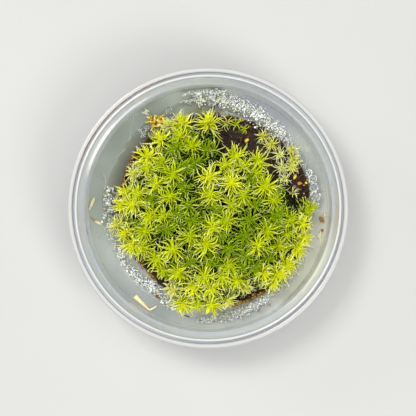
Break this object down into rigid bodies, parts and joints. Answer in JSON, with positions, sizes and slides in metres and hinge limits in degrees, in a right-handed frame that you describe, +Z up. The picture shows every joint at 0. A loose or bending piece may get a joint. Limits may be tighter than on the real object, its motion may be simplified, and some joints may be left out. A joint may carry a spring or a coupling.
{
  "type": "moss clump in a culture dish",
  "caption": "Cushion of star-headed green moss on a dark peat plug, growing over a clear gel pad in a shallow round milky see-through dish.",
  "frame": {"origin": "middle of the dish's flat underside", "axes": "+Z up out of the dish, along its round axis; +X and +Y as the right and the top of the plan view"},
  "size_m": [0.09, 0.09, 0.0247],
  "materials": {
    "dish_plastic": "milky translucent moulded plastic",
    "gel": "wet clear jelly",
    "peat": "wet crumbly peat",
    "moss_green": "fresh moss leaves, slightly glossy",
    "moss_pale": "pale young moss leaves",
    "dead_leaf": "dry yellow-brown leaves",
    "froth": "clear wet bubbles",
    "straw": "dry straw and husk",
    "brown_bark": "brown seed coat and bark",
    "orange_bits": "orange and yellow plant bits"
  },
  "bodies": {
    "root": {"culture_dish": "dish_plastic", "gel_pad": "gel", "peat_plug": "peat", "moss_cushion": "moss_green", "moss_pale_tuft": "moss_pale", "moss_sprigs": "moss_pale", "moss_seedling": "moss_pale", "dead_moss_shoot": "dead_leaf", "froth_back": "froth", "froth_back_right": "froth", "froth_front_right": "froth", "froth_front": "froth", "froth_front_left": "froth", "froth_left": "froth", "bubbles_right": "froth", "straw_bent": "straw", "straw_left": "straw", "straw_chip_1": "straw", "straw_chip_2": "straw", "straw_right": "straw", "pale_husk": "straw", "star_husk": "straw", "brown_stick": "brown_bark", "seed": "brown_bark", "orange_husk": "orange_bits", "yellow_leaf_bit": "orange_bits", "grit_yellow": "orange_bits", "grit_orange": "orange_bits"}
  },
  "joints": []
}
